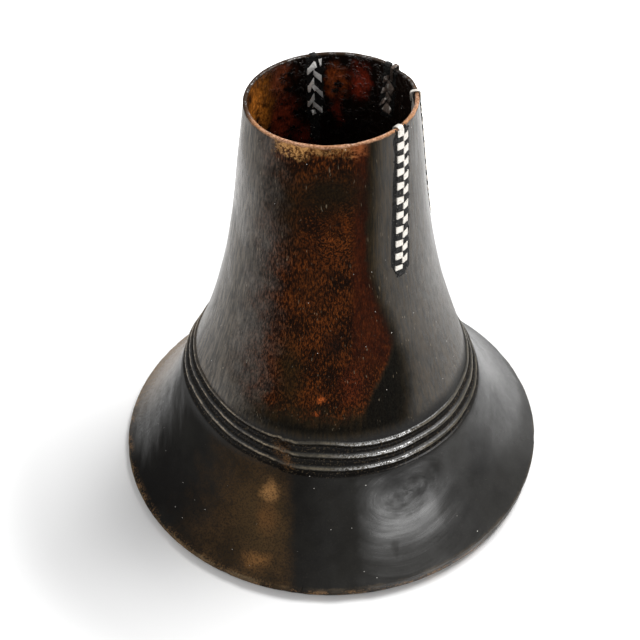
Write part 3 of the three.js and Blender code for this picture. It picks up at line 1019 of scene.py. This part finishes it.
# %% Colours: the red-brown heart, the skin, and the stains of the neck
brown = oiled.colour(clouds, (36, 18, 9), (80, 40, 16))
red_strip = x.fade(0.009, 0.014) * z.fade(0.10, 0.14)
brown = brown.stained(red_strip * 0.8, oiled.colour(streaks, (38, 15, 9), (70, 29, 14)))
brown = brown.stained(bright_flecks * 0.5 * (1 - red_strip * 0.7), (130, 72, 29))
brown = brown.stained(dark_flecks * (0.9 - red_strip * 0.5), (16, 9, 6))
by_edge = (x - window_edge + rag * 0.006).fade(-0.0075, -0.0010)
brown = brown.stained(by_edge * 0.65, (28, 12, 8))
skin = oiled.colour(slow.fade(0.35, 0.65), (24, 23, 22), (34, 33, 31))
warm = oiled.colour(hatch, (38, 31, 17), (76, 60, 34))
far_back = y.fade(-0.012, 0.045) * (x + rag * 0.05).fade(-0.010, -0.085)
warm = warm.stained(far_back * (1 - on_neck) * (0.3 + 0.5 * slow), (104, 80, 50))
base = oiled.colour(on_neck * (0.75 - 0.35 * side.fade(0.2, 0.5)) + far_back * (1 - on_neck), skin, warm)
base = base.stained(heart, brown)
open_front = window * on_neck * (1 - heart)
base = base.stained(open_front * 0.95, oiled.colour(dark_flecks, (18, 17, 14), (10, 9, 8)))
for centre, size, stain, strength in NECK_PLACES:
    flecked = oiled.colour(dark_flecks * 0.75, stain, (20, 13, 9))
    base = base.stained(patch(shaken, centre, size) * on_neck * strength, flecked)

# %% Golden wood under the lip at the front, and the thin lip itself
mottle = shaken.noise(330, 4, 0.7)
tongues = rag * 0.014 + (flecks - 0.5) * 0.002
gold_depth = 0.0040 + 0.0034 * side.fade(-0.10, -0.32) + 0.0026 * side.fade(0.12, 0.26)
under_lip = (below_rim + tongues - gold_depth).fade(0.0022, -0.0022) * facing
under_lip = under_lip * (mottle + fray * 0.5 + below_rim.fade(0.004, 0.001) * 0.18).fade(0.38, 0.62)
gold = oiled.colour((mottle + fray * 0.8).fade(0.68, 0.36), (206, 154, 94), (92, 58, 32))
gold = gold.stained(side.fade(0.1, 0.3), oiled.colour(mottle, (96, 44, 22), (188, 112, 66)))
under_lip = under_lip * side.fade(-0.68, -0.5) * side.fade(0.44, 0.3)
under_lip = under_lip * (0.55 + 0.37 * side.fade(-0.14, -0.26) + 0.25 * side.fade(0.12, 0.26))
base = base.stained(under_lip, gold)
lip_worn = y.fade(0.014, -0.012) * x.fade(-0.044, -0.036)
pink = oiled.colour(fine.fade(0.4, 0.62), (196, 152, 122), (132, 92, 66))
pink = pink.stained(mid.fade(0.55, 0.7) * 0.7, (84, 56, 38))
pink = pink.stained((slow + rag * 0.5).fade(0.44, 0.60) * 0.6, (160, 112, 72))
base = base.stained(lip, oiled.colour(lip_worn, (52, 40, 31), pink))

# %% The skirt: a rubbed brown field on the front left, golden where it is rubbed most
field = (x + rag * 0.006 + y * 0.04).fade(-0.0225, -0.0335)
field = field * (side + rag * 0.3).fade(-0.82, -0.50)
grit = 0.35 + 0.65 * fine.fade(0.38, 0.56)
brown_skirt = oiled.colour(clouds, (46, 36, 25), (66, 50, 33))
base = base.stained(field * on_skirt * facing * grit, brown_skirt)
for centre, size, stain, strength in SKIRT_PLACES:
    spot = patch(shaken, centre, size, 0.1) * strength * field * grit * on_skirt
    base = base.stained(spot, stain)

# %% The band: grooves painted dark for the shade in them, with pale speckles; crests painted grey in front, and on the left a pale line that is partly rubbed wear and partly a painted highlight
# painted shade: the grooves are coloured near black, with pale speckles
groove_shade_speckled = oiled.colour(fine.fade(0.55, 0.66), (15, 13, 11), (74, 64, 50))
base = base.stained(on_band * crest.fade(0.1, -0.35) * 0.9, groove_shade_speckled)
broken = place.noise(90, 4, 0.7).fade(0.36, 0.60)
on_left = side.fade(-0.15, -0.45)
broad = (crest + fray * 1.2).fade(0.0, 0.9) * (1 - on_left)
base = base.stained(broad * (0.35 + 0.4 * broken), (72, 68, 58))
# partly rubbed wear, partly a painted highlight: a pale line along the crests, strongest on the left
rubbed_crest_highlight = (crest + fray * 0.9).fade(0.60, 0.98) * (0.25 + 0.75 * broken)
rubbed_crest_highlight = rubbed_crest_highlight * (0.28 + 0.66 * on_left) * (1 - 0.4 * side.fade(0.55, 0.8))
base = base.stained(rubbed_crest_highlight, oiled.colour(broken, (104, 93, 76), (142, 128, 106)))
gap_worn = patch(shaken, (-27.5, -80, 71), (6, 9, 10)) + patch(shaken, (-24, -84, 66), (5, 8, 5))
base = base.stained(gap_worn * 0.7, oiled.colour(dark_flecks, (104, 74, 44), (30, 23, 16)))

# %% The foot's edge, worn in specks, and a thin pale line round its outermost edge that is partly wear and partly a painted highlight
foot = z.fade(0.0085, 0.0045) * radius.fade(0.118, 0.125)
worn_specks = (fine + rag * 0.8).fade(0.52, 0.62)
base = base.stained(foot * worn_specks * 0.75, (138, 106, 74))
# partly wear, partly a painted highlight: a thin pale line round the outermost edge, stronger on the left
hem_wear_and_highlight = (radius + fray * 0.0020).fade(0.1279, 0.1290) * (0.05 + 0.5 * clouds)
hem_wear_and_highlight = hem_wear_and_highlight * (0.35 + 0.65 * side.fade(-0.25, -0.45))
base = base.stained(hem_wear_and_highlight, (112, 96, 74))

# %% The inside: nearly black, with red-brown stains high on the back and left, painted brighter to stand in for the light that falls on them
hollow = oiled.colour(mid, (10, 7, 6), (30, 18, 12))
blotches = mid.fade(0.32, 0.55)
for centre, size, stain, strength in INNER_STAINS_AND_LIGHT:
    hollow = hollow.stained(patch(shaken, centre, size) * strength * blotches, stain)
hollow = hollow.stained(dark_flecks * 0.5, (14, 9, 7))
base = base.stained(inside * (1 - lip), hollow)

# %% Dust and scratches
dust = specks(place, 150, 0.052, 0.07) + specks(place, 420, 0.11, 0.025)
dust = dust + inside * specks(place, 420, 0.12, 0.08)
base = base.stained(dust * 0.95, (236, 232, 224))
scratches = hairlines(place, (0, 0.6, 0), 0.40) + hairlines(place, (0, -0.9, 0.4), 0.38)
base = base.stained(scratches * 0.35 * (1 - inside) * on_neck, (156, 140, 116))
print("colours of the wood:", len(oiled.tree.nodes), "nodes")

# %% Polish of the neck
neck = (1 - window) * on_neck
worn_left = side.fade(-0.25, -0.6) * facing
neck = neck * (0.70 + 0.26 * streaks * (1 - worn_left) + worn_left * (0.40 * hatch - 0.06))
neck = neck * (1 - facing * (1 - skin_right) * side.fade(-0.1, 0.1))
neck = neck * (1 - 0.16 * side.fade(0.3, 0.6) * z.fade(0.150, 0.105))
neck = neck * (1 - worn_left * 0.35 * slow.fade(0.42, 0.6)) * (0.86 - 0.08 * side.fade(0.0, 0.2))
neck = neck * (1 - 0.42 * facing * side.fade(0.15, 0.3) * side.fade(0.85, 0.5))

# %% Polish of the skirt: whole behind and on the far left, smeared in arcs on the right
drips = oiled.point(x * 150, side * 2, y * 24).noise(1, 3, 0.6)
far_side = (y + (drips - 0.5) * 0.07).fade(-0.042, 0.024)
off_x, off_z = x - 0.044, (z - 0.046) * 1.7
from_centre = (off_x * off_x + off_z * off_z) ** 0.5
across, up = off_x / from_centre, off_z / from_centre
swirls = oiled.point(from_centre * 130, across * 0.9, up * 0.9).noise(1, 3, 0.55)
lines = oiled.point(from_centre * 1000, across * 1.6, up * 1.6).noise(1, 2, 0.5)
swept = swirls.fade(0.32, 0.68) * 0.44 + lines.fade(0.4, 0.62) * 0.14
bowl = (from_centre + rag * 0.014).gap(0.027).fade(0.014, 0.001) * z.fade(0.052, 0.034)
swept = swept + bowl * 0.42
smeared = (side + rag * 0.10).fade(0.11, 0.25)
smeared = smeared * (0.21 + 1.20 * swept * side.fade(0.80, 0.55) + 0.24 * y.fade(-0.06, -0.02))
smeared = smeared * (0.80 + 0.34 * (slow + rag * 0.4).fade(0.36, 0.62)) * z.fade(0.0635, 0.0560)
front = side.fade(-0.22, 0.02) * 0.10 * (0.5 + clouds)
skirt = (far_side * (0.62 + 0.30 * streaks) * (1 - smeared) + smeared + front) * on_skirt
skirt = skirt * (1 - 0.75 * side.fade(0.0, 0.2) * z.fade(0.0555, 0.0625))
for centre, size in DULL_PLACES:
    skirt = skirt * (1 - 0.45 * patch(shaken, centre, size, 0.1))

# %% Polish of the band, and of the whole
crests = crest.fade(-0.2, 0.7) * (0.35 + 0.65 * fine.fade(0.4, 0.6))
band = (1 - on_neck) * (1 - on_skirt)
polish = neck + skirt * (1 - band) + band * (
    0.12 + crests * (0.26 + 0.30 * side.fade(-0.2, 0.3) + 0.45 * side.fade(-0.35, -0.65)))
polish = polish * (0.8 + 0.4 * fine)
polish = polish * (1 - inside) * (1 - lip) + inside * 0.22 * mid.fade(0.45, 0.6)
print("polish of the wood:", len(oiled.tree.nodes), "nodes")

# %% Relief, and the wood material
rub = place.noise(60, 5, 0.65)
tar = place.noise(240, 4, 0.65).fade(0.46, 0.62) * inside
scrapes = place.stretched((0.3, 0.3, 1.6)).noise(700, 3, 0.65)
relief = flecks * 0.5 * heart + fibres * 0.25 + fine * 0.3 + scrapes * on_band * 1.4
normal = oiled.bumped(relief + tar * 2.5, 0.0003, 0.55, Normal=oiled.bumped(rub, 0.0012, 0.3))
oiled.set(Specular_IOR_Level=0.015, Coat_IOR=1.56, Coat_Roughness=0.24, Base_Color=base,
           Roughness=0.55 + 0.15 * rub, Coat_Weight=polish, Normal=normal)

# %% Where crests catch the light, and where tar has run inside, the surface shines like horn
horn = oiled.node("ShaderNodeBsdfPrincipled", {}, {
    "Base Color": (34, 31, 27), "Specular IOR Level": 1, "IOR": 2.3, "Roughness": 0.14, "Normal": normal})
glints = crest.fade(0.35, 0.8) * (fine + mid * 0.3).fade(0.58, 0.70)
glints = glints * side.fade(-0.05, 0.22) * side.fade(0.66, 0.46) * facing + tar * 0.35
polished = Wire(oiled, oiled.surface.outputs[0])
dress([vessel], oiled.shown(oiled.node("ShaderNodeMixShader", {}, {0: glints, 1: polished, 2: horn})))

# %% [markdown]
# ## Aluminium strip
# The strip was cut by hand from old sheet and hammered down. It is bright but not polished: fine
# scratches, small dents, and a grey film in patches. Inside at the back right, smoke has browned
# it, and its lowest run is painted near black for the shade there. At the back left it is painted whiter and
# less metallic, partly weathering and partly a painted highlight.


# %% The aluminium material
def aluminium_material():
    shader = Shader(bpy.data.materials.new("aluminium_strip"))
    dents = shader.place.noise(420, 3, 0.6)
    scuffs = shader.place.stretched((1, 1, 0.3), (0.4, 0.3, 0)).noise(2600, 2, 0.5)
    grime = shader.place.noise(700, 4, 0.7).fade(0.5, 0.72)
    base = shader.colour(grime * 0.55, (212, 207, 199), (138, 130, 119))
    rough = 0.36 + 0.2 * scuffs + 0.15 * grime
    normal = shader.bumped(dents, 0.0006, 0.8, Normal=shader.bumped(scuffs, 0.00006, 0.5))
    x, y, z = shader.place.axes()
    at_back, on_right = y.fade(0.012, 0.024), x.fade(0.010, 0.020)
    # painted shade: the lowest run at the back right is coloured near black and made less metallic
    shade_low_run = at_back * on_right * z.fade(0.212, 0.200)
    tarnish = at_back * on_right * shader.place.noise(300, 3, 0.6).fade(0.28, 0.50)
    base = base.stained(tarnish * 0.92, (66, 48, 37))
    base = base.stained(shade_low_run * 0.9, (22, 17, 14))
    # partly weathering, partly a painted highlight: at the back left the strip is painted whiter and made
    # less metallic
    base = base.stained(at_back * (1 - on_right) * (1 - grime), (240, 238, 234))
    metal = 0.75 - 0.35 * at_back * (1 - on_right) - 0.4 * shade_low_run
    return shader.set(Base_Color=base, Roughness=rough, Metallic=metal, Normal=normal)


dress(strips.values(), aluminium_material())

# %% [markdown]
# ## Hardened gum
# Plant gum sets nearly black. It is duller than the oiled wood, and dust lies on it in patches.


# %% The gum material
def gum_material():
    shader = Shader(bpy.data.materials.new("gum"))
    lumps = shader.place.noise(900, 4, 0.65)
    dust = shader.place.noise(1600, 3, 0.6).fade(0.6, 0.75)
    grains = specks(shader.place, 760, 0.22, 0.34)
    _, y, z = shader.place.axes()
    # painted glints: white specks on the gum low inside at the back, where the crack's gum catches the light
    painted_glints = specks(shader.place, 640, 0.24, 0.5) * y.fade(0.02, 0.03) * z.fade(0.226, 0.220)
    base = shader.colour(dust * 0.6, (13, 12, 11), (70, 66, 58))
    base = base.stained(grains * 0.7, (138, 132, 120))
    base = base.stained(painted_glints * 0.9, (236, 232, 222))
    normal = shader.bumped(lumps, 0.0010, 1.0)
    return shader.set(Base_Color=base, Roughness=0.45 + 0.3 * lumps, Normal=normal, Specular_IOR_Level=0.22)


dress(gums.values(), gum_material())

# %% [markdown]
# ## Floor, light and camera
# The photograph is a plain studio one: a white sweep, one large soft light high on the right, and a
# camera that looks down on the vessel. The floor is a pale plane that glows a little to the camera
# only, so that it keeps the shadow, and glows more beyond it, so that the sweep reads as white. A low
# light at the front right makes the smear on the skirt.


# %% The floor and the world
def camera_sees(shader):
    """1 for rays that end in the picture: straight, mirrored or passed through."""
    path = shader.tree.nodes.new("ShaderNodeLightPath")
    straight, mirrored, passed = (
        Wire(shader, path.outputs[f"Is {ray} Ray"]) for ray in ("Camera", "Glossy", "Transmission"))
    return straight.larger(mirrored).larger(passed)


def floor_material():
    shader = Shader(bpy.data.materials.new("floor_white"))
    x, y, _ = shader.place.axes()
    beyond_shadow = ((x * x + y * y) ** 0.5).fade(185 * mm, 290 * mm)
    light = shader.colour(beyond_shadow, (0.04, 0.04, 0.04, 1), (0.7, 0.7, 0.7, 1))
    glow = shader.node("ShaderNodeEmission", {}, {"Color": light, "Strength": 1})
    matte = shader.node("ShaderNodeBsdfDiffuse", {}, {"Color": (0.82, 0.82, 0.82, 1)})
    both = shader.node("ShaderNodeAddShader", {}, {0: matte, 1: glow})
    return shader.shown(shader.node("ShaderNodeMixShader", {}, {0: camera_sees(shader), 1: matte, 2: both}))


floor = added(bpy.ops.mesh.primitive_plane_add, size=8, location=(0, 0, 0))
floor.name = "floor"
floor.data.materials.append(floor_material())

room_light = 0.45
world = Shader(bpy.data.worlds.new("studio"))
world.set(Color=(1, 1, 1, 1), Strength=room_light + (1 - room_light) * camera_sees(world))
bpy.context.scene.world = world.owner
print("floor and world ready")


# %% Lamps
LAMPS = {  # size, power, place, aim
    "key": ((0.65, 0.65), 26, (0.64, 0.40, 1.40), (0, 0, 0.1)),
    "fill": ((1.2, 1.0), 5, (-1.3, -0.5, 1.0), (0, 0, 0.1)),
    "low": ((0.8, 0.34), 3.2, (0.84, -0.94, 0.32), (0.04, -0.1, 0.03)),
}
for name, (size, power, place, aim) in LAMPS.items():
    lamp = bpy.data.lights.new(name, "AREA")
    lamp.shape = "RECTANGLE"
    lamp.size, lamp.size_y = size
    lamp.energy = power
    holder = bpy.data.objects.new(name, lamp)
    bpy.context.collection.objects.link(holder)
    holder.location = place
    holder.rotation_euler = (Vector(aim) - Vector(place)).to_track_quat("-Z", "Y").to_euler()
print(len(LAMPS), "lamps")

# %% Camera
camera_distance = 567.4 * mm
camera_height = 623.7 * mm
look_down = 42.81
focal_pixels = 1300
frame_pixels = 640
axis_pixel = 330.9
sensor = 36

camera_data = bpy.data.cameras.new("camera")
camera_data.sensor_width = sensor
camera_data.lens = focal_pixels / frame_pixels * sensor
camera_data.shift_x = -(axis_pixel - frame_pixels / 2) / frame_pixels
camera_data.clip_start = 0.01
camera = bpy.data.objects.new("camera", camera_data)
camera.location = (0, -camera_distance, camera_height)
camera.rotation_euler = (math.radians(90 - look_down), 0, 0)
bpy.context.collection.objects.link(camera)
bpy.context.scene.camera = camera
bpy.context.scene.view_settings.view_transform = "Standard"
print(f"camera lens {camera_data.lens:.1f} mm")
